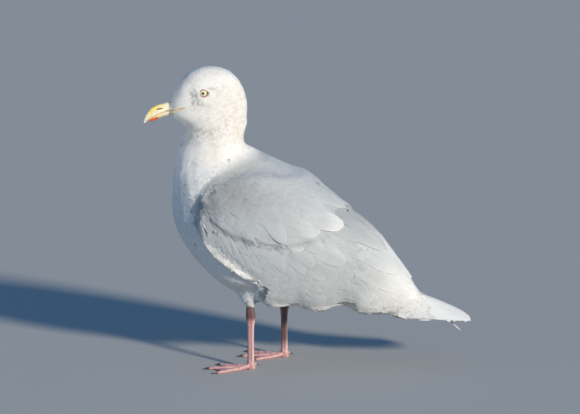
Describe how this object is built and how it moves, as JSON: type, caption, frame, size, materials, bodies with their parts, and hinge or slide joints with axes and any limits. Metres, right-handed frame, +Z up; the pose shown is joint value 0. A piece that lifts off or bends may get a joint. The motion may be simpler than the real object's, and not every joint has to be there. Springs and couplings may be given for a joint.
{
  "type": "standing white-winged gull",
  "caption": "Life-size adult pale gull in winter plumage, standing at rest with folded grey wings, closed hooked bill, webbed pink feet and a closed white tail.",
  "frame": {"origin": "bottom centre of the bounding box, on the ground under the belly", "axes": "+Z is up, the bill points along -X and the tail along +X, and the bird's left side faces -Y"},
  "size_m": [0.387, 0.1454, 0.3579],
  "materials": {
    "white_plumage": "matt soft feathers",
    "grey_plumage": "matt smooth feathers",
    "pale_wing_tip": "matt smooth feathers",
    "yellow_horn": "satin horn",
    "pink_skin": "satin scaled skin",
    "dark_claw": "satin horn",
    "pale_iris": "wet gloss"
  },
  "bodies": {
    "root": {"head": "white_plumage", "neck": "white_plumage", "trunk": "white_plumage", "tail": "white_plumage", "bill_upper": "yellow_horn", "bill_lower": "yellow_horn", "wing_left": "grey_plumage", "wing_tip_left": "pale_wing_tip", "shoulder_left": "grey_plumage", "eye_left": "pale_iris", "thigh_left": "white_plumage", "leg_left": "pink_skin", "foot_left": "pink_skin", "claw_left_inner": "dark_claw", "claw_left_middle": "dark_claw", "claw_left_outer": "dark_claw", "claw_left_hind": "dark_claw", "wing_right": "grey_plumage", "wing_tip_right": "pale_wing_tip", "shoulder_right": "grey_plumage", "eye_right": "pale_iris", "thigh_right": "white_plumage", "leg_right": "pink_skin", "foot_right": "pink_skin", "claw_right_inner": "dark_claw", "claw_right_middle": "dark_claw", "claw_right_outer": "dark_claw", "claw_right_hind": "dark_claw"}
  },
  "joints": []
}
